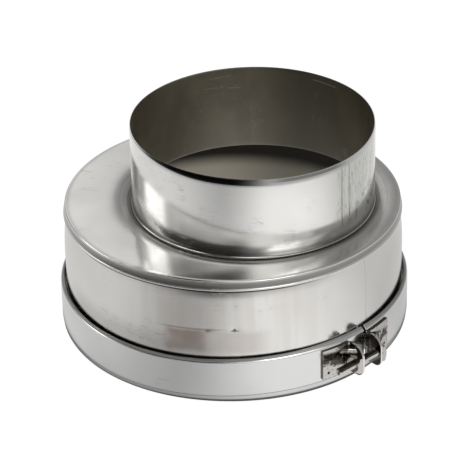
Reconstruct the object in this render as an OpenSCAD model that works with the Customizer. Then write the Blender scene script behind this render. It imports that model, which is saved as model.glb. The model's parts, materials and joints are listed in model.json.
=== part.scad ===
// Eccentric flue pipe adapter: a spigot on a pressed shoulder lid, a wide casing
// below it, and a bolted locking band round the lower end of the casing.
// Origin on the casing axis in the plane the adapter stands on, +Z towards the spigot.

/* [Spigot] */
// Outside diameter of the spigot
spigot_d = 150; // [100:1:154]
// Sheet thickness of the spigot
spigot_wall = 0.8; // [0.5:0.1:2]
// Height of the spigot rim above the dish of the lid
spigot_rise = 54.4; // [30:0.2:150]
// Sideways distance from the casing axis to the spigot axis
spigot_offset = 13; // [0:0.5:15]
// Height of the coned lead-in below the rim
lead_h = 4; // [1:0.5:10]
// How far the lead-in closes in at the rim
lead_in = 0.8; // [0:0.1:3]
// Height of the bead that stands on the lid
foot_bead_h = 1.6; // [0.8:0.1:3]
// How far the bead stands out of the spigot
foot_bead_out = 0.7; // [0.3:0.1:0.8]
// Width of the flange peened out under the lid
foot_flange_w = 3; // [1:0.5:3.5]

/* [Shoulder lid] */
// Height of the shoulder plate above the base
shoulder_h = 81.5; // [70:0.5:160]
// Sheet thickness of the lid
lid_t = 0.8; // [0.5:0.1:1.4]
// Outside radius of the corner between plate and skirt
lid_corner_r = 1.6; // [1.5:0.1:4]
// Height of the skirt, from the plate to the end of the hem
skirt_h = 6.3; // [5:0.1:12]
// How far the skirt flares from the corner to the hem
skirt_flare = 0.2; // [0:0.1:1]
// Radius of the curled hem
hem_r = 0.7; // [0.5:0.1:1.2]
// How far the hem stands out of the skirt
hem_out = 0.4; // [0.1:0.1:0.6]
// Radial step from the casing in to the skirt
skirt_step = 0.8; // [0.2:0.1:1.5]
// Width of the dish pressed round the spigot hole
dish_w = 11; // [7:0.5:13]
// Depth of the dish below the plate
dish_depth = 2.1; // [0.5:0.1:4]
// Width of the flat at the bottom of the dish
dish_flat_w = 4; // [3.5:0.5:5]

/* [Casing] */
// Outside diameter of the casing
casing_d = 210; // [206:1:260]
// Sheet thickness of the casing
casing_wall = 0.8; // [0.5:0.1:2]
// Radial gap between the neck of the casing and the skirt
skirt_gap = 0.2; // [0.1:0.05:0.4]
// Height over which the casing swells out below the lid
swell_h = 23; // [10:1:30]
// Height of the lower edge of the casing above the base
casing_foot_h = 12; // [9:0.5:14]
// How far the rolled bead stands out of the casing
bead_out = 2.7; // [2:0.1:3.5]
// Height of the rolled bead
bead_h = 7; // [5:0.5:9]
// Straight collar between the lower edge and the bead
bead_collar_h = 1.5; // [1:0.5:3]

/* [Locking band] */
// Sheet thickness of the band
band_t = 0.8; // [0.5:0.1:1.2]
// Radial gap between the bead and the inside of the band
band_gap = 0.25; // [0.1:0.05:0.4]
// Height of the upright wall of the band
band_wall_h = 22.1; // [21.6:0.1:30]
// Height of the inclined upper lip
top_lip_h = 2.4; // [1.5:0.1:4]
// How far the upper lip leans in
top_lip_in = 1.45; // [0.5:0.05:2.2]
// Height of the rolled lower lip
low_lip_h = 6.6; // [4:0.1:9]
// How far the lower lip rolls in
low_lip_in = 2.3; // [1:0.1:3]
// Height of the upright part of the lower lip, below the crease
low_lip_wall_h = 2.6; // [1:0.1:4]
// Radius of the edge between wall and upper lip
band_edge_r = 1.2; // [0.5:0.1:3]
// Depth of the crease between wall and lower lip
crease_in = 0.4; // [0.2:0.05:0.6]
// Width of the split in the band
split_w = 1.6; // [0.5:0.1:4]

/* [Clamp] */
// Direction of the clamp, turned from the front towards +X
clamp_angle = 42.7; // [0:0.1:360]
// Sheet thickness of the lugs
lug_t = 1.6; // [1:0.1:2]
// Height of a lug
lug_h = 20; // [17:0.5:20.5]
// Length of a lug along the band, up to its ear
lug_run = 19; // [14:0.5:30]
// Free space between the two ears
ear_gap = 14; // [8:0.5:24]
// How far the ears stand out of the band
ear_out = 12.5; // [12:0.5:18]
// Radius of the upper outer corner of an ear
ear_top_r = 8; // [3:0.5:9]
// Radius of the lower outer corner of an ear
ear_low_r = 4.5; // [1:0.5:6]
// Inside radius of the bend between lug and ear
bend_r = 1.2; // [0.5:0.1:1.3]
// Radius of the stiffening dart across the bend
dart_r = 1.5; // [0.8:0.1:1.8]
// How far the dart runs along lug and ear
dart_reach = 4.5; // [3:0.5:6]
// Distance from the top of the lug to the middle of the dart
dart_drop = 4.2; // [3:0.1:4.6]
// Diameter of a spot weld mark
weld_d = 2.4; // [1.5:0.1:3]
// Diameter of the pilot hole in a lug
pilot_d = 1.8; // [1:0.1:2.5]
// Depth of a spot weld mark
weld_depth = 0.35; // [0.1:0.05:0.6]

/* [Bolt and nut] */
// Diameter of the bolt
bolt_d = 5; // [4:0.5:6]
// Distance from the band to the bolt axis
bolt_out = 8; // [7.8:0.1:9]
// Height of the bolt axis above the base
bolt_h = 16.5; // [15:0.1:17]
// How far the bolt runs on past the nut
bolt_tail = 12.5; // [3:0.5:25]
// Diameter of the chamfer circle on the face of head and nut
nut_face_d = 9.5; // [7:0.1:11]
// Chamfer at the free end of the bolt
bolt_tip = 0.7; // [0.3:0.1:1]
// Width of the square head and of the square nut
nut_w = 10; // [8:0.5:10]
// Thickness of the nut
nut_t = 4; // [3:0.5:6]
// Thickness of the bolt head
head_t = 3; // [2:0.5:5]
// Radial clearance of the bolt in the ears
bolt_clear = 0.25; // [0.1:0.05:0.5]

/* [Hidden] */
$fn = 96;
cut = 1;
chamfer_slope = tan(60);

spigot_r = spigot_d / 2;
dish_z = shoulder_h - dish_depth;
dish_r = spigot_r + dish_w;
dish_flat_r = spigot_r + dish_flat_w;
spigot_top = dish_z + spigot_rise;
spigot_foot = dish_z - lid_t;

casing_r = casing_d / 2;
skirt_r = casing_r - skirt_step;
neck_r = skirt_r - lid_t - skirt_gap;
lid_under = shoulder_h - lid_t;
hem_z = shoulder_h - skirt_h;

band_r = casing_r + bead_out + band_gap + band_t;
band_edge_z = low_lip_h + band_wall_h;
band_top = band_edge_z + top_lip_h;

lug_z = low_lip_h + (band_wall_h - lug_h) / 2;
lug_top = lug_z + lug_h;
lug_r = band_r + lug_t;
ear_face = ear_gap / 2;
ear_back = ear_face + lug_t;
ear_edge = band_r + ear_out;
bend_x = ear_back + bend_r;
bend_y = sqrt(pow(lug_r, 2) - pow(bend_x, 2)) + bend_r;
dart_z = lug_top - dart_drop;
lug_turn = asin(ear_back / band_r) + lug_run / band_r * 180 / PI;

bolt_r = bolt_d / 2;
bolt_y = band_r + bolt_out;

// Spot welds and pilot hole of a lug, as shares of its run and of its height
weld_spots = [[0.45, 0.62], [0.6, 0.42], [0.72, 0.7]];
pilot_spot = [0.8, 0.2];

// Points on an arc about a centre, from one angle to another
function arc(c, r, a0, a1, n = 8) =
    [for (i = [0 : n]) let (a = a0 + (a1 - a0) * i / n) c + r * [cos(a), sin(a)]];

function unit(v) = v / norm(v);

// Arc of radius r that rounds the corner b between the lines to a and to c
function rounded(a, b, c, r, n = 4) =
    let (u = unit(a - b), v = unit(c - b), half = acos(u * v) / 2,
         centre = b + unit(u + v) * r / sin(half),
         s = b + u * r / tan(half) - centre, e = b + v * r / tan(half) - centre,
         start = atan2(s[1], s[0]), turn = (atan2(e[1], e[0]) - start + 540) % 360 - 180)
    arc(centre, r, start, start + turn, n);

// Section of a sheet, from its outer side and its thickness measured level
function sheet(path, t) =
    concat(path, [for (i = [len(path) - 1 : -1 : 0]) path[i] - [t, 0]]);

// Spigot: straight pipe, coned lead-in, bead on the lid and flange under it
module spigot() {
    inner_r = spigot_r - spigot_wall;
    foot_low = spigot_foot - spigot_wall;
    bend = 1.5 * spigot_wall;
    bead_r = foot_bead_h / 2;
    bead_turn = acos((bead_r - foot_bead_out) / bead_r);
    bead_c = [spigot_r + foot_bead_out - bead_r, dish_z + bead_r * sin(bead_turn)];
    color("silver")
    translate([spigot_offset, 0, 0])
    rotate_extrude()
    polygon(concat(
        [[spigot_r - lead_in, spigot_top], [spigot_r, spigot_top - lead_h]],
        arc(bead_c, bead_r, bead_turn, -bead_turn),
        [[spigot_r, spigot_foot], [spigot_r + foot_flange_w, spigot_foot],
         [spigot_r + foot_flange_w, foot_low]],
        arc([inner_r + bend, foot_low + bend], bend, 270, 180),
        [[inner_r, spigot_top - lead_h], [inner_r - lead_in, spigot_top]]));
}

// Lid: plate, rounded corner, skirt and curled hem, with a dish round the spigot hole
module shoulder_lid() {
    corner = [skirt_r - lid_corner_r, shoulder_h - lid_corner_r];
    hem_c = [skirt_r + skirt_flare + hem_out - hem_r, hem_z + hem_r];
    hem_turn = acos((hem_r - hem_out) / hem_r);
    color("gainsboro") {
        difference() {
            rotate_extrude()
            polygon(concat(
                [[0, shoulder_h]],
                arc(corner, lid_corner_r, 90, 0),
                arc(hem_c, hem_r, hem_turn, -90),
                [[skirt_r - lid_t, hem_z]],
                arc(corner, lid_corner_r - lid_t, 0, 90),
                [[0, lid_under]]));
            translate([spigot_offset, 0, lid_under - cut])
            cylinder(h = lid_t + 2 * cut, r = dish_r);
        }
        dish_plate();
    }
}

// Dish between the spigot and the flat plate of the lid
module dish_plate() {
    steps = 10;
    top = [for (i = [0 : steps]) let (u = i / steps)
           [dish_flat_r + (dish_r - dish_flat_r) * u, dish_z + dish_depth * (1 - cos(180 * u)) / 2]];
    translate([spigot_offset, 0, 0])
    rotate_extrude()
    polygon(concat(
        [[spigot_r, dish_z]],
        top,
        [for (i = [steps : -1 : 0]) top[i] - [0, lid_t]],
        [[spigot_r, dish_z - lid_t]]));
}

// Casing: collar, rolled bead, straight wall and swell up to the neck inside the skirt
module casing() {
    bead_z = casing_foot_h + bead_collar_h;
    bead_steps = 16;
    swell_steps = 10;
    swell_z = hem_z - swell_h;
    color("lightgray")
    rotate_extrude()
    polygon(sheet(concat(
        [[casing_r, casing_foot_h]],
        [for (i = [0 : bead_steps]) let (u = i / bead_steps)
         [casing_r + bead_out * (1 - cos(360 * u)) / 2, bead_z + bead_h * u]],
        [for (i = [0 : swell_steps]) let (u = i / swell_steps)
         [casing_r - (casing_r - neck_r) * pow(u, 2), swell_z + swell_h * u]],
        [[neck_r, shoulder_h - lid_corner_r], [skirt_r - lid_corner_r, lid_under]]), casing_wall));
}

// Locking band: rolled lower lip, upright wall and leaning upper lip, split at the clamp
module locking_band() {
    steps = 8;
    roll_h = low_lip_h - low_lip_wall_h - crease_in;
    roll = low_lip_in - crease_in;
    edge = [band_r, band_edge_z];
    lip = [band_r - top_lip_in, band_top];
    color("darkgray")
    difference() {
        rotate_extrude()
        polygon(sheet(concat(
            [for (i = [0 : steps]) let (u = i / steps)
             [band_r - crease_in - roll * (1 - sin(90 * u)), roll_h * u]],
            [[band_r - crease_in, low_lip_h - crease_in], [band_r, low_lip_h]],
            rounded([band_r, low_lip_h], edge, lip, band_edge_r),
            [lip]), band_t));
        rotate([0, 0, clamp_angle])
        translate([ear_face - split_w, -ear_edge, -cut])
        cube([split_w, 2 * ear_out, band_top + 2 * cut]);
    }
}

// Plan of a lug: strip on the band, bend and ear, seen from above with the band below it
module lug_plan() {
    difference() {
        union() {
            intersection() {
                circle(lug_r);
                polygon([[0, 0], [0, -2 * lug_r], [2 * lug_r * tan(lug_turn), -2 * lug_r]]);
                translate([ear_face, -2 * lug_r])
                square(2 * lug_r);
            }
            translate([ear_face, -ear_edge])
            square([lug_t, 2 * ear_out]);
            difference() {
                translate([ear_back - cut / 2, -bend_y])
                square([bend_r + cut / 2, 2 * bend_r]);
                translate([bend_x, -bend_y])
                circle(bend_r);
            }
        }
        circle(band_r);
        difference() {
            translate([ear_face - cut, -bend_y])
            square([cut + lug_t + bend_r, 2 * ear_out]);
            translate([bend_x, -bend_y])
            circle(lug_t + bend_r);
            translate([bend_x, -bend_y])
            square([cut, 2 * ear_out]);
        }
    }
}

// Cutter that rounds an upper (up = 1) or lower (up = -1) outer corner of an ear
module ear_corner(r, z, up) {
    translate([ear_face - cut, 0, z])
    difference() {
        translate([0, -ear_edge - cut, up > 0 ? -r : -cut])
        cube([lug_t + 2 * cut, r + cut, r + cut]);
        translate([-cut, r - ear_edge, -up * r])
        rotate([0, 90, 0])
        cylinder(h = lug_t + 4 * cut, r = r);
    }
}

// Place on the face of a lug, from shares of its run and of its height
module on_lug(spot) {
    turn = asin(ear_back / band_r) + spot[0] * lug_run / band_r * 180 / PI;
    rotate([0, 0, turn])
    translate([0, -lug_r, lug_z + spot[1] * lug_h])
    rotate([90, 0, 0])
    children();
}

// Stiffening dart pressed across the bend of a lug
module dart() {
    ridge_y = bend_y - bend_r;
    intersection() {
        union() {
            translate([0, 0, dart_z - dart_r])
            linear_extrude(2 * dart_r)
            polygon([[ear_face, -ridge_y - dart_reach], [ear_back, -ridge_y - dart_reach],
                     [ear_back + dart_reach, -ridge_y], [ear_back + dart_reach, lug_t - ridge_y],
                     [ear_face, lug_t - ridge_y]]);
            translate([ear_back - dart_reach, -ridge_y - 2 * dart_reach, dart_z])
            rotate([0, 90, 45])
            cylinder(h = 3 * dart_reach * sqrt(2), r = dart_r);
        }
        difference() {
            translate([ear_face + lug_t / 2, -ear_edge, lug_z])
            cube([3 * dart_reach, 2 * ear_out, lug_h]);
            translate([0, 0, lug_z - cut])
            cylinder(h = lug_h + 2 * cut, r = band_r + lug_t / 2);
        }
    }
}

// Right lug in the frame of the clamp: -Y out of the band, X along the bolt
module lug() {
    difference() {
        union() {
            translate([0, 0, lug_z])
            linear_extrude(lug_h)
            lug_plan();
            dart();
        }
        ear_corner(ear_top_r, lug_top, 1);
        ear_corner(ear_low_r, lug_z, -1);
        translate([ear_face - cut, -bolt_y, bolt_h])
        rotate([0, 90, 0])
        cylinder(h = lug_t + 2 * cut, r = bolt_r + bolt_clear);
        for (spot = weld_spots)
            on_lug(spot)
            translate([0, 0, -weld_depth])
            cylinder(h = cut, d = weld_d);
        on_lug(pilot_spot)
        translate([0, 0, -lug_t - cut])
        cylinder(h = lug_t + 2 * cut, d = pilot_d);
    }
}

module right_lug() {
    color("gray")
    rotate([0, 0, clamp_angle])
    lug();
}

module left_lug() {
    color("gray")
    rotate([0, 0, clamp_angle])
    mirror([1, 0, 0])
    lug();
}

// Square block with a chamfered face, standing on z = 0
module square_block(t) {
    intersection() {
        translate([-nut_w / 2, -nut_w / 2, 0])
        cube([nut_w, nut_w, t]);
        cylinder(h = t, r1 = nut_face_d / 2 + t * chamfer_slope, r2 = nut_face_d / 2);
    }
}

// Bolt with its square head behind the right ear and its free end past the nut
module clamp_bolt() {
    reach = 2 * ear_back + nut_t + bolt_tail;
    color("dimgray")
    rotate([0, 0, clamp_angle])
    translate([ear_back, -bolt_y, bolt_h])
    rotate([0, 90, 0]) {
        square_block(head_t);
        translate([0, 0, bolt_tip - reach])
        cylinder(h = reach - bolt_tip, r = bolt_r);
        translate([0, 0, -reach])
        cylinder(h = bolt_tip, r1 = bolt_r - bolt_tip, r2 = bolt_r);
    }
}

// Square nut against the left ear
module clamp_nut() {
    color("dimgray")
    rotate([0, 0, clamp_angle])
    translate([-ear_back, -bolt_y, bolt_h])
    rotate([0, -90, 0])
    difference() {
        square_block(nut_t);
        translate([0, 0, -cut])
        cylinder(h = nut_t + 2 * cut, r = bolt_r);
    }
}

spigot();
shoulder_lid();
casing();
locking_band();
left_lug();
right_lug();
clamp_bolt();
clamp_nut();
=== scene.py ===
import json
import math

import bpy
import numpy as np
from mathutils import Matrix, Vector, noise


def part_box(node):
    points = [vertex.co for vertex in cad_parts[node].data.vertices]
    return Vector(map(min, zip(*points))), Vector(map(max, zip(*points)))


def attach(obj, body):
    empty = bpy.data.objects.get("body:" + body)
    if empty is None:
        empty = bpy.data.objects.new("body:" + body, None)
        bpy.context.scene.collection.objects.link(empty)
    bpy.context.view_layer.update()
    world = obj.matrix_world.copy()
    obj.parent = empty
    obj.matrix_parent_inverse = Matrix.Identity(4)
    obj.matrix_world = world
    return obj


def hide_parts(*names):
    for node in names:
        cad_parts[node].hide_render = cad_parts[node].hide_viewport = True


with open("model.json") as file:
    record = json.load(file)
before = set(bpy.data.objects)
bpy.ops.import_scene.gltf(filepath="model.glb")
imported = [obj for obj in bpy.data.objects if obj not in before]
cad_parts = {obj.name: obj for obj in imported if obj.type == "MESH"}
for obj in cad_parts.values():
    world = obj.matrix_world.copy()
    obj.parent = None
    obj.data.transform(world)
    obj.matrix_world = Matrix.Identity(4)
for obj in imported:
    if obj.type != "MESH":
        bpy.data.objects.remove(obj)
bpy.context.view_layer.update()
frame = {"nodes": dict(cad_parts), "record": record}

# All sizes below are in millimetres and degrees, unless a name says otherwise.
# Directions round the adapter are turned from the front (-Y) towards +X.
MM = 0.001
nodes = frame["nodes"]
mounts = {mount["name"]: mount for mount in frame["record"]["mounts"]}


def node_box(name):
    """Lowest and highest corner of a node, in millimetres."""
    low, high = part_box(name)
    return low / MM, high / MM


# Sizes that the frame gives
SPIGOT_R = mounts["spigot_outside"]["dims"]["r_mm"]
SPIGOT_X = mounts["spigot_outside"]["pos_m"][0] / MM
CASING_IN_R = mounts["casing_inside"]["dims"]["r_mm"]
RIM_Z = node_box("spigot")[1].z
RIM_DRAWN_IN = 0.3
RIM_THINNED = 0.35
# The rim is cut lower on one side: depth, middle of that side and height over which the wall follows
RIM_DIP = 1.5
DIP_ANGLE = 38.0
DIP_RUN = 14.0
SHOULDER_Z = node_box("shoulder_lid")[1].z
HEM_Z = node_box("shoulder_lid")[0].z
CASING_FOOT_Z = node_box("casing")[0].z
BEAD_R = node_box("casing")[1].x
BAND_TOP = node_box("locking_band")[1].z
BAND_R = node_box("locking_band")[1].x

# Sheet metal
SHEET = 0.8
CASING_R = CASING_IN_R + SHEET
SKIRT_R = CASING_R - 1.0
SKIRT_FLARE = 0.45
NECK_R = SKIRT_R - 0.7
LID_UNDER = SHOULDER_Z - SHEET
CORNER_R = 1.0
DISH_Z = SHOULDER_Z - 2.1
DISH_FLAT_R = SPIGOT_R + 0.3
DISH_R = SPIGOT_R + 12.5
CROWN = 0.45
CROWN_W = 14
EDGE_RIDGE = 0.15
BAND_LEAN_IN = 1.6
BAND_EDGE_Z = BAND_TOP - 1.8
BAND_SAG = 2.0
SAG_ANGLE = -35
SAG_SPREAD = 45
BAND_DRAWN_IN = 0.9
EDGE_SOFTNESS = 0.16
ROUND_STEPS = 360

# Clamp
CLAMP_ANGLE = 42.7
EAR_FACE = 7.0
LUG_SHEET = 1.6
SPLIT_W = 1.6
BOLT_R = 2.5
BOLT_OUT = BAND_R + 8
BOLT_Z = 16.5
BOLT_REACH = 2 * (EAR_FACE + LUG_SHEET) + 4 + 12.5
THREAD_PITCH = 0.8
THREAD_DEPTH = 0.42
HEAD_W = 10.0
HEAD_T = 3.0
HEAD_FACE_R = 4.75

# Scratches on the spigot's inner face: middle, half length, depth under the rim, rise per degree
SCRATCHES = [
    (-160, 2.5, 12.5, 0.05),
    (-165, 4.5, 5.5, -0.08),
    (-172, 2.0, 14.0, 0.10),
    (141, 6.0, 4.5, 0.04),
    (-96, 1.5, 20.0, 0.50),
]

# Studio
PAPER_REACH = 0.30  # metres of white paper round the adapter
TENT_LEVEL = 0.38
PAPER_LEVEL = 0.70
TABLE_LEVEL = 0.54
# Parts of the tent, each laid over those before: azimuth, half width, elevation, half height,
# softness, brightness
TENT = [
    (-57, 50, 61, 20, 22, 0.03),
    (60, 50, 66, 30, 36, 0.26),
    (42, 22, 50, 6, 16, 0.95),
    (-113, 3, 64, 6, 4, 4.00),
    (-125, 2, 54, 5, 3, 4.50),
    (-135, 3, 39, 4, 3, 3.00),
    (0, 181, 90, 16, 8, 0.10),
    (0, 181, 90, 6, 5, 2.60),
    (183, 30, 58, 5, 20, 0.08),
    (-29, 29, 9, 16, 9, 0.13),
    (-14, 66, 24, 2, 6, 0.72),
    (14, 7, 32, 2, 20, 0.90),
    (-107, 11, 28, 3, 10, 1.62),
    (192, 4, 29, 3, 13, 0.86),
    (-84, 4, 25, 2, 9, 0.66),
    (-146, 3, 26, 8, 8, 0.22),
]
# Parts of the paper, each laid over those before: azimuth, half width, softness, brightness
PAPER = [
    (182, 5, 55, 0.92),
    (-8, 8, 60, 0.44),
    (41, 22, 45, 0.94),
    (90, 5, 50, 0.60),
]
# Parts of the table past the paper, in the same terms
TABLE = [
    (-32, 40, 42, 0.0),
    (50, 30, 35, 0.42),
]


def arc(centre, radius, start, end, count=8):
    """Points on an arc, from one angle to another."""
    angles = np.radians(np.linspace(start, end, count + 1))
    return [(centre[0] + radius * math.cos(a), centre[1] + radius * math.sin(a)) for a in angles]


def refine(loop, step=2.0):
    """The closed loop with points added on its long sides."""
    points = []
    for a, b in zip(loop, loop[1:] + loop[:1]):
        a, b = np.array(a, float), np.array(b, float)
        count = max(1, round(np.linalg.norm(b - a) / step))
        points += [tuple(a + (b - a) * k / count) for k in range(count)]
    return points


def new_piece(name, vertices, faces, material, smooth_below=32):
    """A mesh piece, in millimetres, that rides on the adapter's body."""
    mesh = bpy.data.meshes.new(name)
    mesh.from_pydata([tuple(v) for v in np.asarray(vertices) * MM], [], faces)
    mesh.validate()
    mesh.shade_smooth()
    mesh.set_sharp_from_angle(angle=math.radians(smooth_below))
    mesh.materials.append(material)
    piece = bpy.data.objects.new(name, mesh)
    bpy.context.scene.collection.objects.link(piece)
    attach(piece, "root")
    return piece


def soften_edges(piece, width=EDGE_SOFTNESS):
    """Rounds the sharp edges of a piece."""
    bevel = piece.modifiers.new("soft edges", "BEVEL")
    bevel.width = width * MM
    bevel.segments = 2
    bevel.limit_method = "ANGLE"
    bevel.angle_limit = math.radians(38)
    bevel.harden_normals = False
    bpy.context.view_layer.update()
    soft = bpy.data.meshes.new_from_object(piece.evaluated_get(bpy.context.evaluated_depsgraph_get()))
    piece.modifiers.clear()
    piece.data = soft
    soft.shade_smooth()
    soft.set_sharp_from_angle(angle=math.radians(32))


def lathe(name, loop, material, start=0.0, sweep=360.0, shape=None):
    """A ring with the section loop of (centre x, radius, height), moved by shape(angle, r, z)."""
    closed = sweep >= 360
    columns = ROUND_STEPS if closed else ROUND_STEPS + 1
    angles = start + sweep * np.arange(columns) / ROUND_STEPS
    vertices = []
    for angle in angles:
        a = math.radians(angle)
        for centre, radius, height in loop:
            out, up = shape(angle, radius, height) if shape else (0, 0)
            reach = radius + out
            vertices.append((centre + reach * math.sin(a), -reach * math.cos(a), height + up))
    rows = len(loop)
    faces = []
    for i in range(columns if closed else columns - 1):
        j = (i + 1) % columns
        for k in range(rows):
            m = (k + 1) % rows
            faces.append((i * rows + k, i * rows + m, j * rows + m, j * rows + k))
    if not closed:
        faces.append(tuple(range(rows))[::-1])
        faces.append(tuple((columns - 1) * rows + k for k in range(rows)))
    piece = new_piece(name, vertices, faces, material)
    soften_edges(piece)
    return piece


def ripple(seed, size, height):
    """A smooth random wave over the round sheet, as a function of angle, radius and height."""
    def wave(angle, radius, z):
        a = math.radians(angle)
        place = Vector((radius * math.sin(a), -radius * math.cos(a), z)) / size
        return height * noise.noise(place + Vector((seed, seed * 0.7, -seed)))
    return wave


def bell(value, centre, width):
    """A soft bump of height one."""
    return math.exp(-((value - centre) / width) ** 2)


class Shader:
    """Adds nodes to one material's tree and links them."""

    def __init__(self, tree):
        self.tree = tree

    def add(self, kind, inputs=None, **settings):
        made = self.tree.nodes.new(kind)
        for key, value in settings.items():
            setattr(made, key, value)
        for key, value in (inputs or {}).items():
            if isinstance(value, bpy.types.NodeSocket):
                self.tree.links.new(value, made.inputs[key])
            else:
                made.inputs[key].default_value = value
        return made

    def math(self, operation, a, b=0.0, clamp=False):
        return self.add("ShaderNodeMath", {0: a, 1: b}, operation=operation, use_clamp=clamp).outputs[0]

    def ramp(self, value, low, high, to_low=0.0, to_high=1.0):
        made = self.add("ShaderNodeMapRange", {0: value, 1: low, 2: high, 3: to_low, 4: to_high},
                        interpolation_type="SMOOTHSTEP")
        return made.outputs[0]

    def window(self, value, centre, half, soft):
        """One near the centre, falling to zero over soft beyond half."""
        away = self.math("ABSOLUTE", self.math("SUBTRACT", value, centre))
        return self.ramp(away, half, half + soft, 1.0, 0.0)

    def noise(self, vector, scale, detail=2.0, roughness=0.5, distortion=0.0):
        made = self.add("ShaderNodeTexNoise", {"Vector": vector, "Scale": scale, "Detail": detail,
                                               "Roughness": roughness, "Distortion": distortion})
        return made.outputs["Fac"]

    def over(self, below, mask, level):
        """The value below, replaced by level where the mask is one."""
        kept = self.math("MULTIPLY", below, self.math("SUBTRACT", 1.0, mask))
        return self.math("ADD", kept, self.math("MULTIPLY", mask, level))

    def mix(self, factor, a, b):
        made = self.add("ShaderNodeMix", {0: factor, 6: a, 7: b}, data_type="RGBA")
        return made.outputs[2]


class SheetCoordinates:
    """Round coordinates of a point on the sheet: angle in degrees, height and arc length in millimetres."""

    def __init__(self, shader, centre_x, radius):
        place = shader.add("ShaderNodeTexCoord").outputs["Object"]
        parts = shader.add("ShaderNodeSeparateXYZ", {0: place}).outputs
        x = shader.math("SUBTRACT", parts[0], centre_x * MM)
        front = shader.math("MULTIPLY", parts[1], -1.0)
        turn = shader.math("ARCTAN2", x, front)
        self.place = place
        self.angle = shader.math("MULTIPLY", turn, 180 / math.pi)
        self.height = shader.math("MULTIPLY", parts[2], 1 / MM)
        self.around = shader.math("MULTIPLY", turn, radius)
        self.flat = shader.add("ShaderNodeCombineXYZ", {0: self.around, 1: self.height}).outputs[0]
        self.aside = shader.math("MULTIPLY", parts[0], 1 / MM)
        self.front = front
        outward = shader.add("ShaderNodeCombineXYZ", {0: x, 1: parts[1]}).outputs[0]
        normal = shader.add("ShaderNodeTexCoord").outputs["Normal"]
        facing = shader.add("ShaderNodeVectorMath", {0: outward, 1: normal}, operation="DOT_PRODUCT")
        self.inner = shader.ramp(facing.outputs["Value"], -0.01, -0.03)

    def painted_inner_shade(self, shader, tint, gloss, shade):
        """The sheet's inner face, made rougher, with painted shade from dark to pale brown along the given shade mask.
        """
        painted_shade = shader.mix(shade, (0.05, 0.047, 0.038, 1.0), (0.86, 0.80, 0.66, 1.0))
        return shader.mix(self.inner, tint, painted_shade), shader.over(gloss, self.inner, 0.36)

    def stretched(self, shader, along, across):
        """Coordinates that stretch a texture along the sheet's run."""
        made = shader.add("ShaderNodeVectorMath", {0: self.flat, 1: (along, across, 1.0)}, operation="MULTIPLY")
        return made.outputs[0]


def steel(name, colour, roughness, centre_x=0.0, radius=100.0, marks=None, grain=0.5):
    """Bright stainless sheet: cloudy polish, fine rolling lines, a few scratches, and marks of its own."""
    material = bpy.data.materials.new(name)
    material.use_nodes = True
    tree = material.node_tree
    tree.nodes.clear()
    shader = Shader(tree)
    sheet = SheetCoordinates(shader, centre_x, radius)

    cloud = shader.noise(sheet.place, 22.0, 1.5)
    lines = shader.noise(sheet.stretched(shader, 0.05, 2.2), 1.0, 3.0, 0.65)
    specks = shader.noise(sheet.place, 2600.0, 2.0)
    scratch_field = shader.noise(sheet.stretched(shader, 0.09, 0.9), 1.0, 1.0, 0.5, 1.2)
    scratch = shader.window(scratch_field, 0.5, 0.0012, 0.004)
    scratch_places = shader.ramp(shader.noise(sheet.place, 60.0, 2.0), 0.56, 0.66)
    scratch = shader.math("MULTIPLY", scratch, scratch_places)

    tone = shader.ramp(cloud, 0.3, 0.7)
    dull = tuple(c * 0.93 for c in colour)
    tint = shader.mix(tone, (*dull, 1.0), (*colour, 1.0))
    gloss = shader.math("ADD", shader.ramp(cloud, 0.25, 0.75, roughness + 0.02, roughness - 0.015),
                        shader.ramp(lines, 0.35, 0.65, -0.015, 0.03))
    height = shader.math("ADD", shader.math("MULTIPLY", lines, 0.012 * grain),
                         shader.math("MULTIPLY", specks, 0.0006 * grain))
    height = shader.math("SUBTRACT", height, shader.math("MULTIPLY", scratch, 0.03))
    if marks:
        tint, gloss, height = marks(shader, sheet, tint, gloss, height)
    bump = shader.add("ShaderNodeBump", {"Height": height, "Distance": MM, "Strength": 1.0})
    surface = shader.add("ShaderNodeBsdfPrincipled",
                         {"Base Color": tint, "Metallic": 1.0, "Roughness": gloss, "Normal": bump.outputs[0]})
    shader.add("ShaderNodeOutputMaterial", {"Surface": surface.outputs[0]})
    return material


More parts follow.
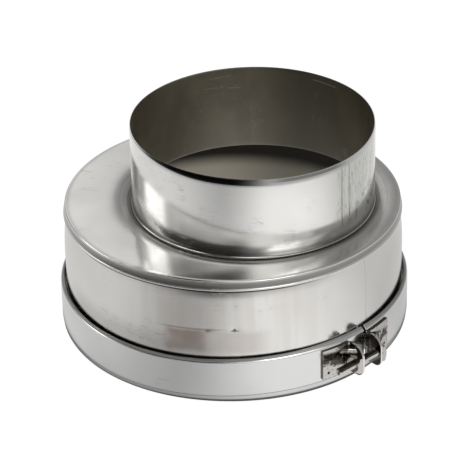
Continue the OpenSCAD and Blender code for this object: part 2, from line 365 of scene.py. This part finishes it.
def spigot_marks(shader, sheet, tint, gloss, height):
    """The spigot's welded seams and the dried stains beside them, a painted dark reflection on its lead-in and under
    its rim, painted shade at its foot, and painted shade on its inner face with pale scuffs and scratches.
    """
    weld = shader.window(sheet.angle, 44.0, 0.3, 0.3)
    weld = shader.math("ADD", weld, shader.window(sheet.angle, 49.0, 0.3, 0.3), clamp=True)
    weld = shader.math("MULTIPLY", weld, shader.window(sheet.height, 108.0, 17.0, 5.0))
    height = shader.math("ADD", height, shader.math("MULTIPLY", weld, 0.05))
    area = shader.math("MULTIPLY", shader.window(sheet.angle, 59.0, 15.0, 6.0),
                       shader.window(sheet.height, 108.0, 17.0, 8.0))
    run = shader.noise(sheet.stretched(shader, 0.20, 0.035), 1.0, 2.5, 0.6, 0.6)
    trace = shader.window(run, 0.5, 0.004, 0.014)
    trace = shader.math("ADD", trace, shader.window(run, 0.6, 0.003, 0.012), clamp=True)
    patch = shader.ramp(shader.noise(sheet.place, 120.0, 3.0, 0.6), 0.50, 0.60)
    low = shader.math("MULTIPLY", shader.window(sheet.height, 96.0, 5.0, 6.0), shader.window(sheet.angle, 64.0, 6.0, 6.0))
    blot = shader.math("MULTIPLY", patch, low)
    stain = shader.math("MULTIPLY", area, shader.ramp(run, 0.35, 0.65, 0.25, 0.6))
    dark = shader.math("MULTIPLY", area, shader.math("ADD", shader.math("MULTIPLY", trace, 0.6), blot, clamp=True))
    dark = shader.math("ADD", dark, shader.math("MULTIPLY", weld, 0.6), clamp=True)
    tint = shader.mix(stain, tint, (0.80, 0.80, 0.74, 1.0))
    tint = shader.mix(shader.math("MULTIPLY", dark, 0.75), tint, (0.26, 0.27, 0.22, 1.0))
    gloss = shader.math("ADD", gloss, shader.math("MULTIPLY", stain, 0.14))
    # Painted dark reflection: a black band on the lead-in, darkest at the front left and narrower at the left, and a
    # dark line just under the rim at the right front, both following the rim's dip.
    rise = shader.ramp(sheet.angle, -68.0, -20.0, 2.8, 0.0)
    turn = shader.math("MULTIPLY", shader.math("SUBTRACT", sheet.angle, DIP_ANGLE), math.pi / 180)
    dip = shader.math("MAXIMUM", shader.math("COSINE", turn), 0.0)
    dip = shader.math("MULTIPLY", shader.math("MULTIPLY", dip, dip), RIM_DIP)
    level = shader.math("ADD", sheet.height, dip)
    lead = shader.ramp(shader.math("SUBTRACT", level, rise), RIM_Z - 4.2, RIM_Z - 3.8)
    lead_in_painted_dark = shader.math("ADD", 0.06, shader.math("MULTIPLY", shader.window(sheet.angle, -32.0, 20.0, 22.0), 0.84))
    tint = shader.mix(shader.math("MULTIPLY", lead, lead_in_painted_dark), tint, (0.02, 0.02, 0.02, 1.0))
    painted_darkening = shader.math("MULTIPLY", shader.window(sheet.angle, 27.0, 11.0, 12.0),
                         shader.window(level, RIM_Z - 1.4, 0.8, 0.5))
    tint = shader.mix(shader.math("MULTIPLY", painted_darkening, 0.55), tint, (0.02, 0.02, 0.02, 1.0))
    gloss = shader.math("SUBTRACT", gloss, shader.math("MULTIPLY", lead, 0.06))
    # Painted shade towards the spigot's foot on the lid.
    foot = shader.ramp(sheet.height, DISH_Z + 6.0, DISH_Z + 0.8)
    tint = shader.mix(shader.math("MULTIPLY", foot, 0.6), tint, (0.20, 0.19, 0.17, 1.0))
    # Painted shade for the inner face: lighter left of the middle, clouded and streaked, with pale scuffs and scratches
    # added.
    cloud = shader.noise(sheet.place, 14.0, 3.0)
    shade = shader.window(sheet.aside, -20.0, 18.0, 50.0)
    shade = shader.math("MULTIPLY", shade, shader.ramp(cloud, 0.3, 0.7, 0.20, 0.62))
    streaks = shader.noise(sheet.stretched(shader, 0.05, 0.018), 1.0, 3.0, 0.6)
    shade = shader.math("MULTIPLY", shader.math("ADD", shade, 0.32), shader.ramp(streaks, 0.3, 0.7, 0.92, 1.06))
    scuff = shader.window(shader.noise(sheet.stretched(shader, 0.16, 0.5), 1.0, 2.0, 0.5, 1.0), 0.5, 0.002, 0.008)
    scuff = shader.math("MULTIPLY", scuff, shader.ramp(shader.noise(sheet.place, 48.0, 2.0), 0.55, 0.62))
    shade = shader.math("ADD", shade, shader.math("MULTIPLY", scuff, 0.5))
    for middle, half, below_rim, slope in SCRATCHES:
        run = shader.math("MULTIPLY", shader.math("SUBTRACT", sheet.angle, middle), slope)
        across = shader.math("SUBTRACT", shader.math("SUBTRACT", sheet.height, RIM_Z - below_rim), run)
        line = shader.math("MULTIPLY", shader.window(across, 0.0, 0.1, 0.25), shader.window(sheet.angle, middle, half, 1.5))
        shade = shader.math("ADD", shade, shader.math("MULTIPLY", line, 0.8))
    shade = shader.math("MINIMUM", shade, 1.0)
    tint, gloss = sheet.painted_inner_shade(shader, tint, gloss, shade)
    return tint, gloss, height


def band_marks(shader, sheet, tint, gloss, height):
    """The upper lip painted darker over a brushed texture and less so near the clamp, and a painted highlight along the
    edge below it, both lowered where the band hangs.
    """
    turned = shader.math("MULTIPLY", shader.math("SUBTRACT", sheet.angle, SAG_ANGLE), 1 / SAG_SPREAD)
    hang = shader.math("EXPONENT", shader.math("MULTIPLY", shader.math("MULTIPLY", turned, turned), -1.0))
    level = shader.math("ADD", sheet.height, shader.math("MULTIPLY", hang, BAND_SAG))
    # Painted shade on the upper lip, broken up by a brushed texture and lighter near the clamp.
    lip = shader.ramp(level, BAND_EDGE_Z + 0.6, BAND_EDGE_Z + 0.75)
    brushed = shader.ramp(shader.noise(sheet.stretched(shader, 0.02, 3.0), 1.0, 2.0), 0.38, 0.62, 0.55, 1.0)
    painted_light = shader.math("MULTIPLY", shader.window(sheet.angle, 36.0, 10.0, 16.0), 0.35)
    painted_darkening = shader.math("MULTIPLY", lip, shader.math("SUBTRACT", brushed, painted_light))
    tint = shader.mix(painted_darkening, tint, (0.32, 0.32, 0.31, 1.0))
    gloss = shader.math("ADD", gloss, shader.math("MULTIPLY", lip, 0.38))
    # Painted highlight along the edge under the lip.
    edge = shader.window(level, BAND_EDGE_Z + 0.15, 0.5, 0.1)
    tint = shader.mix(edge, tint, (0.97, 0.97, 0.95, 1.0))
    gloss = shader.math("SUBTRACT", gloss, shader.math("MULTIPLY", edge, 0.08))
    return tint, gloss, height


def lug_marks(shader, sheet, tint, gloss, height):
    """The lug's cut edges painted black as shade, painted highlights on faces near its edges and on the ear's rim,
    painted shade over the ear's face growing upwards, random dark speckles, and a painted dark band of shade across the
    plate.
    """
    turn = math.radians(CLAMP_ANGLE)
    outward = (math.sin(turn), -math.cos(turn), 0.0)
    along = (math.cos(turn), math.sin(turn), 0.0)
    normal = shader.add("ShaderNodeTexCoord").outputs["Normal"]

    def part(vector, axis):
        return shader.add("ShaderNodeVectorMath", {0: vector, 1: axis}, operation="DOT_PRODUCT").outputs["Value"]
    depth = shader.math("MULTIPLY", part(sheet.place, outward), 1 / MM)
    run = shader.math("ABSOLUTE", shader.math("MULTIPLY", part(sheet.place, along), 1 / MM))
    on_ear = shader.ramp(depth, BAND_R + 3.0, BAND_R + 3.8)
    plate_skin = shader.math("ABSOLUTE", part(normal, outward))
    ear_skin = shader.math("ABSOLUTE", part(normal, along))
    skin = shader.over(plate_skin, on_ear, ear_skin)
    # Painted shade: the lug's cut edges are made nearly black.
    edge_painted_shade = shader.math("MULTIPLY", shader.ramp(skin, 0.75, 0.5), shader.math("SUBTRACT", 1.0, on_ear))
    # Painted highlight on faces tilted a little from the lug's flat skin.
    painted_light = shader.window(skin, 0.86, 0.05, 0.06)
    tint = shader.mix(painted_light, tint, (0.95, 0.93, 0.90, 1.0))
    tint = shader.mix(shader.math("MULTIPLY", edge_painted_shade, 0.85), tint, (0.03, 0.028, 0.025, 1.0))
    # Painted shade on the ear's face, darker higher up.
    painted_shade = shader.ramp(shader.math("ADD", sheet.height, shader.math("MULTIPLY", shader.noise(sheet.place, 300.0, 2.0), 4.0)),
                        17.0, 20.0, 0.55, 0.97)
    ear_face = shader.math("MULTIPLY", on_ear, shader.ramp(ear_skin, 0.80, 0.96))
    # Painted highlight on the ear's rim.
    ear_rim_highlight = shader.math("MULTIPLY", on_ear, shader.ramp(ear_skin, 0.70, 0.50))
    tint = shader.mix(ear_rim_highlight, tint, (0.93, 0.91, 0.88, 1.0))
    tint = shader.mix(shader.math("MULTIPLY", ear_face, painted_shade), tint, (0.03, 0.025, 0.02, 1.0))
    speckle = shader.ramp(shader.noise(sheet.place, 900.0, 2.0, 0.6), 0.52, 0.66)
    tint = shader.mix(shader.math("MULTIPLY", speckle, 0.45), tint, (0.10, 0.09, 0.08, 1.0))
    # Painted shade: a dark band across the plate near its upper part, wider towards the ear, broken up by noise.
    patch = shader.noise(sheet.place, 260.0, 2.5, 0.6)
    rise = shader.ramp(run, 26.0, 12.0, 2.0, 5.0)
    away = shader.math("ABSOLUTE", shader.math("SUBTRACT", sheet.height, 19.5))
    painted_shade_band = shader.ramp(shader.math("SUBTRACT", away, rise), 1.6, -0.4)
    painted_shade_band = shader.math("MULTIPLY", painted_shade_band, shader.ramp(patch, 0.36, 0.50))
    painted_shade_band = shader.math("MULTIPLY", painted_shade_band, shader.math("SUBTRACT", 1.0, on_ear))
    tint = shader.mix(shader.math("MULTIPLY", painted_shade_band, 0.9), tint, (0.035, 0.024, 0.018, 1.0))
    return tint, gloss, height


def bolt_marks(shader, sheet, tint, gloss, height):
    """Painted shade on the upper side of the thread, broken up by speckles."""
    normal = shader.add("ShaderNodeTexCoord").outputs["Normal"]
    upward = shader.add("ShaderNodeSeparateXYZ", {0: normal}).outputs[2]
    speckle = shader.math("MULTIPLY", shader.noise(sheet.place, 700.0, 2.0), 0.5)
    painted_upper_shade = shader.ramp(shader.math("ADD", upward, speckle), 0.35, 0.65)
    painted_upper_shade = shader.math("MULTIPLY", painted_upper_shade, shader.ramp(upward, 0.98, 0.90))
    tint = shader.mix(shader.math("MULTIPLY", painted_upper_shade, 0.9), tint, (0.03, 0.027, 0.02, 1.0))
    return tint, gloss, height


def lid_marks(shader, sheet, tint, gloss, height):
    """The lid's skirt painted darker and made rougher, painted highlights on its worn corner and hem, painted shade
    round the spigot's foot, and painted shade on its right side.
    """
    # Painted shade: the skirt is darkened and made rougher.
    skirt = shader.window(sheet.height, (SHOULDER_Z + HEM_Z) / 2 + 0.35, 1.55, 0.4)
    tint = shader.mix(shader.math("MULTIPLY", skirt, 0.7), tint, (0.30, 0.29, 0.27, 1.0))
    gloss = shader.math("ADD", gloss, shader.math("MULTIPLY", skirt, 0.16))
    # Painted highlight on the worn corner and hem: faces below the plate's top, other than the skirt, are made near
    # white.
    worn_edge_highlight = shader.math("MULTIPLY", shader.math("SUBTRACT", 1.0, skirt),
                        shader.ramp(sheet.height, SHOULDER_Z - 0.02, SHOULDER_Z - 0.10))
    tint = shader.mix(worn_edge_highlight, tint, (0.97, 0.965, 0.94, 1.0))
    gloss = shader.math("SUBTRACT", gloss, shader.math("MULTIPLY", worn_edge_highlight, 0.07))
    sideways = shader.math("SUBTRACT", sheet.aside, SPIGOT_X)
    front = shader.math("MULTIPLY", sheet.front, 1 / MM)
    reach = shader.math("POWER", shader.math("ADD", shader.math("MULTIPLY", sideways, sideways),
                                             shader.math("MULTIPLY", front, front)), 0.5)
    # Painted shade round the spigot's foot.
    ring = shader.ramp(reach, SPIGOT_R + 14, SPIGOT_R + 3)
    tint = shader.mix(shader.math("MULTIPLY", ring, 0.68), tint, (0.25, 0.24, 0.23, 1.0))
    # Painted shade, clouded, on the lid's right side.
    right_side_painted_shade = shader.math("MULTIPLY", shader.window(sheet.angle, 92.0, 22.0, 24.0),
                         shader.ramp(shader.noise(sheet.place, 35.0, 2.0), 0.3, 0.7, 0.35, 0.6))
    tint = shader.mix(right_side_painted_shade, tint, (0.45, 0.44, 0.42, 1.0))
    sides = shader.math("ADD", shader.window(sheet.angle, -88.0, 26.0, 20.0),
                        shader.math("MULTIPLY", shader.window(sheet.angle, 95.0, 30.0, 25.0), 0.6))
    dull = shader.math("MULTIPLY", shader.ramp(reach, SPIGOT_R + 18, SPIGOT_R + 10), sides)
    gloss = shader.math("ADD", gloss, shader.math("MULTIPLY", ring, 0.06))
    gloss = shader.math("ADD", gloss, shader.math("MULTIPLY", dull, 0.18))
    return tint, gloss, height


def casing_marks(shader, sheet, tint, gloss, height):
    """The casing's welded seam, a painted warm reflection on its front, warm bands, a painted shadow under the hem,
    painted shade along the crease, darker towards the lower left, and painted shade on its inner face.
    """
    seam = shader.window(sheet.angle, 48.6, 0.25, 0.2)
    height = shader.math("ADD", height, shader.math("MULTIPLY", seam, 0.05))
    tint = shader.mix(shader.math("MULTIPLY", seam, 0.2), tint, (0.50, 0.48, 0.40, 1.0))
    # Painted reflection: clouded warm brown patches on the front.
    blotch = shader.noise(sheet.place, 45.0, 2.0)
    drift = shader.math("MULTIPLY", shader.math("SUBTRACT", shader.noise(sheet.place, 90.0, 2.0), 0.5), 5.0)
    across = shader.math("ADD", sheet.angle, drift)
    low = shader.window(shader.math("ADD", sheet.height, drift), 40.6, 5.0, 4.5)
    painted_warm_reflection = shader.math("MULTIPLY", shader.window(across, -16.5, 4.0, 4.5), low)
    faint = shader.math("MULTIPLY", shader.window(across, 0.0, 6.0, 9.0), low)
    above = shader.math("MULTIPLY", shader.window(sheet.angle, -16.0, 5.0, 8.0),
                        shader.window(sheet.height, 56.0, 6.0, 10.0))
    painted_warm_reflection = shader.math("ADD", painted_warm_reflection, shader.math("MULTIPLY", faint, 0.35))
    painted_warm_reflection = shader.math("ADD", painted_warm_reflection, shader.math("MULTIPLY", above, 0.22), clamp=True)
    painted_warm_reflection = shader.math("MULTIPLY", painted_warm_reflection, shader.ramp(blotch, 0.3, 0.6, 0.45, 1.0))
    tint = shader.mix(painted_warm_reflection, tint, (0.44, 0.36, 0.32, 1.0))
    bands = shader.noise(sheet.stretched(shader, 0.11, 0.012), 1.0, 1.5)
    bands = shader.math("MULTIPLY", shader.ramp(bands, 0.38, 0.62), shader.window(sheet.angle, -2.0, 20.0, 22.0))
    tint = shader.mix(shader.math("MULTIPLY", bands, 0.22), tint, (0.62, 0.54, 0.50, 1.0))
    # Painted shadow: a dark line just under the hem.
    under_hem = shader.math("MULTIPLY", shader.window(sheet.height, HEM_Z - 0.7, 0.5, 0.5),
                            shader.window(sheet.angle, -22.0, 34.0, 24.0))
    tint = shader.mix(shader.math("MULTIPLY", under_hem, 0.85), tint, (0.03, 0.03, 0.03, 1.0))
    # Painted shade along the crease at the front.
    crease = shader.math("ADD", 49.3, shader.math("MULTIPLY", sheet.angle, 0.03))
    crease_painted_shade = shader.window(shader.math("SUBTRACT", sheet.height, crease), 0.0, 0.15, 0.75)
    crease_painted_shade = shader.math("MULTIPLY", crease_painted_shade, shader.window(sheet.angle, -14.5, 5.0, 9.0))
    tint = shader.mix(shader.math("MULTIPLY", crease_painted_shade, 0.5), tint, (0.22, 0.20, 0.18, 1.0))
    # Darker towards the bottom on the left.
    lower_left_darkening = shader.math("MULTIPLY", shader.window(sheet.angle, -38.0, 22.0, 16.0), shader.ramp(sheet.height, 48.0, 34.0))
    tint = shader.mix(shader.math("MULTIPLY", lower_left_darkening, 0.45), tint, (0.40, 0.39, 0.37, 1.0))
    # Painted shade for the inner face: lighter left of the middle, dark near the top under the lid.
    shade = shader.math("ADD", 0.5, shader.math("MULTIPLY", shader.window(sheet.aside, -28.0, 12.0, 60.0), 0.5))
    shade = shader.math("MULTIPLY", shade, shader.ramp(sheet.height, 58.0, 46.0))
    tint, gloss = sheet.painted_inner_shade(shader, tint, gloss, shade)
    return tint, gloss, height


pipe_steel = steel("pipe_steel", (0.96, 0.95, 0.925), 0.12, SPIGOT_X, SPIGOT_R, spigot_marks)
lid_steel = steel("lid_steel", (0.82, 0.81, 0.785), 0.14, 0.0, 90.0, lid_marks)
casing_steel = steel("casing_steel", (0.83, 0.82, 0.79), 0.13, 0.0, CASING_R, casing_marks)
band_steel = steel("band_steel", (0.80, 0.80, 0.79), 0.18, 0.0, BAND_R, band_marks, 0.8)
lug_steel = steel("lug_steel", (0.62, 0.59, 0.56), 0.13, 0.0, BAND_R, lug_marks)
bolt_steel = steel("bolt_steel", (0.62, 0.60, 0.55), 0.15, 0.0, BAND_R, bolt_marks)


def make_spigot():
    """Spigot: straight pipe, coned lead-in, bead on the lid and flange under it."""
    inner = SPIGOT_R - SHEET
    foot = DISH_Z - SHEET
    lead_z = RIM_Z - 4
    bead = arc((SPIGOT_R - 0.1, DISH_Z + 0.8), 0.8, 84, -84)
    bend = arc((inner + 1.2, foot - SHEET + 1.2), 1.2, 270, 180)
    loop = [(SPIGOT_R - RIM_DRAWN_IN, RIM_Z), (SPIGOT_R, lead_z), *bead, (SPIGOT_R, foot),
            (SPIGOT_R + 3, foot), (SPIGOT_R + 3, foot - SHEET), *bend,
            (inner, lead_z), (inner - RIM_DRAWN_IN + RIM_THINNED, RIM_Z)]
    loop = [(SPIGOT_X, r, z) for r, z in refine(loop)]
    wave = ripple(3.1, 38.0, 0.16)

    def shape(angle, r, z):
        side = max(math.cos(math.radians(angle - DIP_ANGLE)), 0.0)
        near_rim = max(z - RIM_Z + DIP_RUN, 0.0) / DIP_RUN
        return wave(angle, SPIGOT_R, z), -RIM_DIP * side * side * near_rim
    piece = lathe("spigot_pipe", loop, pipe_steel, shape=shape)
    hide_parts("spigot")


def make_lid():
    """Lid: eccentric dish, flat plate, rounded corner, skirt and curled hem."""
    dish = []
    for k in range(21):
        u = k / 20
        dish.append((SPIGOT_X, DISH_FLAT_R + (DISH_R - DISH_FLAT_R) * u,
                     DISH_Z + (SHOULDER_Z - DISH_Z) * (1 - (1 - u) ** 2)))
    edge_r = SKIRT_R - CORNER_R
    plate = [(SPIGOT_X * (1 - u), DISH_R + (edge_r - DISH_R) * u, SHOULDER_Z)
             for u in 1 - np.linspace(1, 0, 24)[1:] ** 2.5]
    corner = (edge_r, SHOULDER_Z - CORNER_R)
    skirt = [(0.0, r, z) for r, z in
             arc(corner, CORNER_R, 80, 0, 8)
             + arc((SKIRT_R + SKIRT_FLARE - 0.3, HEM_Z + 0.7), 0.7, 64.6, -90, 8)
             + [(SKIRT_R - SHEET, HEM_Z)]
             + arc(corner, CORNER_R - SHEET, 0, 80, 6)]
    top = [(SPIGOT_X, SPIGOT_R + 0.02, DISH_Z), *dish, *plate]
    under = [(c, r, z - SHEET) for c, r, z in top[::-1]]
    wave = ripple(8.4, 30.0, 0.22)

    def shape(angle, r, z):
        calm = min(1.0, max(0.0, (z - HEM_Z - 2) / 4))
        fall = min(1.0, max(0.0, (r - edge_r + CROWN_W) / CROWN_W))
        crown = CROWN * (1 - fall ** 2) * min(1.0, max(0.0, (z - DISH_Z) / (SHOULDER_Z - DISH_Z))) ** 2
        ridge = EDGE_RIDGE * bell(r, edge_r + 0.1, 0.8)
        return 0.0, calm * (crown + ridge + wave(angle, r, 80.0) * (1 - bell(r, edge_r, 6)))
    piece = lathe("shoulder_lid_sheet", top + skirt + under, lid_steel, shape=shape)
    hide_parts("shoulder_lid")


def make_casing():
    """Casing: collar, rolled bead, straight wall with a crease and dents, and swell up to the neck."""
    bead_z = CASING_FOOT_Z + 1.5
    bead = [(CASING_R + (BEAD_R - CASING_R) * (1 - math.cos(math.tau * u)) / 2, bead_z + 7 * u)
            for u in np.linspace(0, 1, 25)]
    swell_z = HEM_Z - 23
    swell = [(CASING_R - (CASING_R - NECK_R) * u ** 1.8, swell_z + 23 * u) for u in np.linspace(0, 1, 25)]
    outer = [(CASING_R, CASING_FOOT_Z), *bead, *swell, (NECK_R, SHOULDER_Z - CORNER_R),
             (SKIRT_R - CORNER_R, LID_UNDER)]
    loop = outer + [(r - SHEET, z) for r, z in outer[::-1]]
    loop = [(0.0, r, z) for r, z in refine(loop, 1.2)]
    wave = ripple(5.3, 45.0, 0.3)

    def shape(angle, r, z):
        angle = (angle + 180) % 360 - 180
        crease_run = 1 / (1 + math.exp((abs(angle + 6) - 17) / 2))
        out = wave(angle, CASING_R, z) * min(1.0, max(0.0, (z - 24) / 8), max(0.0, (78 - z) / 8))
        out -= 0.25 * crease_run * bell(z, 49.4, 1.1)
        out -= 0.5 * bell(angle, -8.8, 1.5) * bell(z, 49.2, 1.2)
        out -= 0.5 * bell(angle, -0.1, 1.5) * bell(z, 49.6, 1.2)
        return out, 0.0
    piece = lathe("casing_sheet", loop, casing_steel, shape=shape)
    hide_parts("casing")


def make_band():
    """Locking band: rolled lower lip, crease, upright wall and leaning upper lip, split at the clamp."""
    roll = [(BAND_R - 0.4 - 1.9 * (1 - math.sin(math.pi / 2 * u)), 3.6 * u) for u in np.linspace(0, 1, 13)]
    lip = (BAND_R - BAND_LEAN_IN, BAND_TOP)
    lean = math.degrees(math.atan2(BAND_LEAN_IN, BAND_TOP - BAND_EDGE_Z))
    reach = 1.2 * math.tan(math.radians(lean / 2))
    edge = arc((BAND_R - 1.2, BAND_EDGE_Z - reach), 1.2, 0, lean, 6)
    outer = [*roll, (BAND_R - 0.4, 6.2), (BAND_R, 6.6), *edge, lip]
    loop = outer + [(r - SHEET, z) for r, z in outer[::-1]]
    loop = [(0.0, r, z) for r, z in refine(loop)]
    split_start = math.degrees(math.asin((EAR_FACE - SPLIT_W) / BAND_R))
    split_end = math.degrees(math.asin(EAR_FACE / BAND_R))
    wave = ripple(1.7, 40.0, 0.12)

    def shape(angle, r, z):
        angle = (angle + 180) % 360 - 180
        lip_share = min(1.0, max(0.0, (z - BAND_EDGE_Z + 0.6) / (BAND_TOP - BAND_EDGE_Z + 0.6)))
        drawn_in = BAND_DRAWN_IN * lip_share * bell(angle, 34, 15)
        return wave(angle, BAND_R, z) - drawn_in, -BAND_SAG * bell(angle, SAG_ANGLE, SAG_SPREAD) * min(1.0, z / 6.4)
    piece = lathe("locking_band_strip", loop, band_steel, CLAMP_ANGLE + split_end,
                  360 - (split_end - split_start), shape)
    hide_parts("locking_band")


def clamp_matrix():
    """Place of the bolt: local Z along the bolt, from its free end to its head."""
    turn = Matrix.Rotation(math.radians(CLAMP_ANGLE), 4, "Z")
    return turn @ Matrix.Translation((EAR_FACE + LUG_SHEET, -BOLT_OUT, BOLT_Z)) @ Matrix.Rotation(math.pi / 2, 4, "Y")


def square_radius(angle):
    """Distance from the middle of the square head to its side."""
    return HEAD_W / 2 / max(abs(math.cos(angle)), abs(math.sin(angle)))


def make_bolt():
    """Bolt: square chamfered head and a shank with a rolled thread."""
    around = 48
    rings = []
    head_angles = [math.tau * k / around for k in range(around)]

    def head_ring(radius_of, height_of):
        rings.append([(radius_of(a) * math.cos(a), radius_of(a) * math.sin(a), height_of(a)) for a in head_angles])

    chamfer = math.tan(math.radians(60))
    head_ring(lambda a: 0.05, lambda a: HEAD_T)
    head_ring(lambda a: HEAD_FACE_R, lambda a: HEAD_T)
    head_ring(square_radius, lambda a: HEAD_T - max(0.0, square_radius(a) - HEAD_FACE_R) / chamfer)
    head_ring(square_radius, lambda a: 0.0)
    head_ring(lambda a: BOLT_R, lambda a: 0.0)
    turn_rows = 8
    rows = round(BOLT_REACH / THREAD_PITCH * turn_rows)
    for k in range(1, rows + 1):
        z = -BOLT_REACH * k / rows
        tip = max(0.0, 0.7 - (BOLT_REACH + z))

        def thread(a, z=z, tip=tip):
            phase = (z / THREAD_PITCH + a / math.tau) % 1
            return BOLT_R - THREAD_DEPTH * abs(2 * phase - 1) ** 0.8 - tip
        head_ring(thread, lambda a, z=z: z)
    head_ring(lambda a: 0.05, lambda a: -BOLT_REACH)
    place = clamp_matrix()
    vertices = [place @ Vector(point) for ring in rings for point in ring]
    faces = []
    for i in range(len(rings) - 1):
        for k in range(around):
            m = (k + 1) % around
            faces.append((i * around + k, (i + 1) * around + k, (i + 1) * around + m, i * around + m))
    faces.append(tuple(range(around)))
    faces.append(tuple((len(rings) - 1) * around + k for k in range(around))[::-1])
    piece = new_piece("clamp_bolt_threaded", vertices, faces, bolt_steel, 35)
    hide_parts("clamp_bolt")


def make_softened(name, material):
    """A copy of a solid with rounded edges, which takes its place."""
    node = nodes[name]
    piece = bpy.data.objects.new(name + "_softened", node.data.copy())
    bpy.context.scene.collection.objects.link(piece)
    piece.matrix_world = node.matrix_world
    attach(piece, "root")
    soften_edges(piece, 0.3)
    piece.data.materials.clear()
    piece.data.materials.append(material)
    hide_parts(name)


make_spigot()
make_lid()
make_casing()
make_band()
make_bolt()
make_softened("left_lug", lug_steel)
make_softened("right_lug", lug_steel)
make_softened("clamp_nut", bolt_steel)


def heading(shader, place):
    """Azimuth test round the vertical: gives a mask that is one near an azimuth, whatever its side."""
    parts = shader.add("ShaderNodeSeparateXYZ", {0: place}).outputs
    flat = shader.add("ShaderNodeCombineXYZ", {0: parts[0], 1: parts[1]}).outputs[0]
    flat = shader.add("ShaderNodeVectorMath", {0: flat}, operation="NORMALIZE").outputs[0]

    def near(azimuth, half, soft):
        a = math.radians(azimuth)
        axis = (math.sin(a), -math.cos(a), 0.0)
        dot = shader.add("ShaderNodeVectorMath", {0: flat, 1: axis}, operation="DOT_PRODUCT").outputs["Value"]
        away = shader.math("MULTIPLY", shader.math("ARCCOSINE", dot), 180 / math.pi)
        return shader.ramp(away, half, half + soft, 1.0, 0.0)
    return near, parts


def make_floor():
    """Pale floor, white to the camera and a sheet of white paper in gloss, with the adapter's soft shadow: real in its
    diffuse share, painted into its glow under the adapter and along a thin contact ring.
    """
    bpy.ops.mesh.primitive_circle_add(vertices=96, radius=3.0, fill_type="NGON", location=(0, 0, -0.0002))
    floor = bpy.context.object
    floor.name = "studio_floor"
    material = bpy.data.materials.new("pale_floor")
    material.use_nodes = True
    tree = material.node_tree
    tree.nodes.clear()
    shader = Shader(tree)
    ray = shader.add("ShaderNodeLightPath").outputs
    place = shader.add("ShaderNodeTexCoord").outputs["Object"]
    near, parts = heading(shader, place)
    reach = shader.add("ShaderNodeVectorMath", {0: place}, operation="LENGTH").outputs["Value"]
    light = PAPER_LEVEL
    for azimuth, half_turn, soft, level in PAPER:
        light = shader.over(light, near(azimuth, half_turn, soft), level)
    table = TABLE_LEVEL
    for azimuth, half_turn, soft, level in TABLE:
        table = shader.over(table, near(azimuth, half_turn, soft), level)
    light = shader.over(light, shader.ramp(reach, PAPER_REACH, PAPER_REACH + 0.08), table)
    # Painted shadow: the glow is dimmed under the adapter's footprint and along a thin ring where it stands.
    outside = shader.ramp(reach, 0.104, 0.118)
    light = shader.math("MULTIPLY", light, shader.ramp(outside, 0.0, 1.0, 0.45, 1.0))
    painted_contact_shadow = shader.window(reach, 0.1078, 0.001, 0.004)
    light = shader.math("MULTIPLY", light, shader.math("SUBTRACT", 1.0, shader.math("MULTIPLY", painted_contact_shadow, 0.9)))
    paper = shader.add("ShaderNodeBsdfDiffuse", {"Color": (0.8, 0.8, 0.8, 1.0)}).outputs[0]
    level = shader.math("MAXIMUM", shader.math("MULTIPLY", ray["Is Camera Ray"], 1.2), light)
    glow = shader.add("ShaderNodeEmission", {"Color": (1, 1, 1, 1), "Strength": level}).outputs[0]
    share = shader.math("ADD", shader.math("MULTIPLY", ray["Is Camera Ray"], 0.8),
                        shader.math("MULTIPLY", ray["Is Glossy Ray"], shader.ramp(outside, 0.0, 1.0, 0.6, 0.95)))
    surface = shader.add("ShaderNodeMixShader", {0: share, 1: paper, 2: glow}).outputs[0]
    shader.add("ShaderNodeOutputMaterial", {"Surface": surface})
    floor.data.materials.append(material)


def make_world():
    """Light tent: grey all round, with soft lighter and darker parts and a few strip lights."""
    world = bpy.data.worlds.new("studio")
    bpy.context.scene.world = world
    world.use_nodes = True
    tree = world.node_tree
    tree.nodes.clear()
    shader = Shader(tree)
    direction = shader.add("ShaderNodeTexCoord").outputs["Generated"]
    ray = shader.add("ShaderNodeLightPath").outputs
    near, parts = heading(shader, direction)
    elevation = shader.math("MULTIPLY", shader.math("ARCSINE", parts[2]), 180 / math.pi)
    light = TENT_LEVEL
    for azimuth, half_turn, middle, half_rise, soft, level in TENT:
        side = near(azimuth, half_turn, soft)
        rise = shader.window(elevation, middle, half_rise, soft)
        light = shader.over(light, shader.math("MULTIPLY", side, rise), level)
    strength = shader.math("MAXIMUM", light, ray["Is Camera Ray"])
    surface = shader.add("ShaderNodeBackground", {"Color": (1, 1, 1, 1), "Strength": strength}).outputs[0]
    shader.add("ShaderNodeOutputWorld", {"Surface": surface})


def make_lamp(name, azimuth, elevation, distance, size, power):
    """A square soft box that faces the adapter."""
    a, e = math.radians(azimuth), math.radians(elevation)
    lamp = bpy.data.lights.new(name, "AREA")
    lamp.size = size
    lamp.energy = power
    made = bpy.data.objects.new(name, lamp)
    bpy.context.scene.collection.objects.link(made)
    back = Vector((math.sin(a) * math.cos(e), -math.cos(a) * math.cos(e), math.sin(e)))
    made.location = Vector((0, 0, 0.06)) + back * distance
    made.rotation_euler = back.to_track_quat("Z", "Y").to_euler()


def make_camera():
    """Camera at the photograph's viewing angle, which the outlines of the rims and beads give."""
    distance, elevation, roll = 1559.5, 29.63, -1.22
    target = Vector((1.1, 0.0, 53.8))
    lens_pixels, image_pixels, sensor = 2500.0, 470.0, 36.0
    camera = bpy.data.cameras.new("photo_camera")
    camera.sensor_width = sensor
    camera.lens = sensor * lens_pixels / image_pixels
    camera.clip_start, camera.clip_end = 0.05, 50.0
    made = bpy.data.objects.new("photo_camera", camera)
    bpy.context.scene.collection.objects.link(made)
    e = math.radians(elevation)
    back = Vector((0, -math.cos(e), math.sin(e)))
    turn = back.to_track_quat("Z", "Y").to_matrix().to_4x4() @ Matrix.Rotation(math.radians(roll), 4, "Z")
    made.matrix_world = Matrix.Translation((target + back * distance) * MM) @ turn
    bpy.context.scene.camera = made


make_floor()
make_world()
make_lamp("key_softbox", 32, 48, 2.0, 0.7, 1.6)
make_camera()
bpy.context.scene.view_settings.view_transform = "Standard"
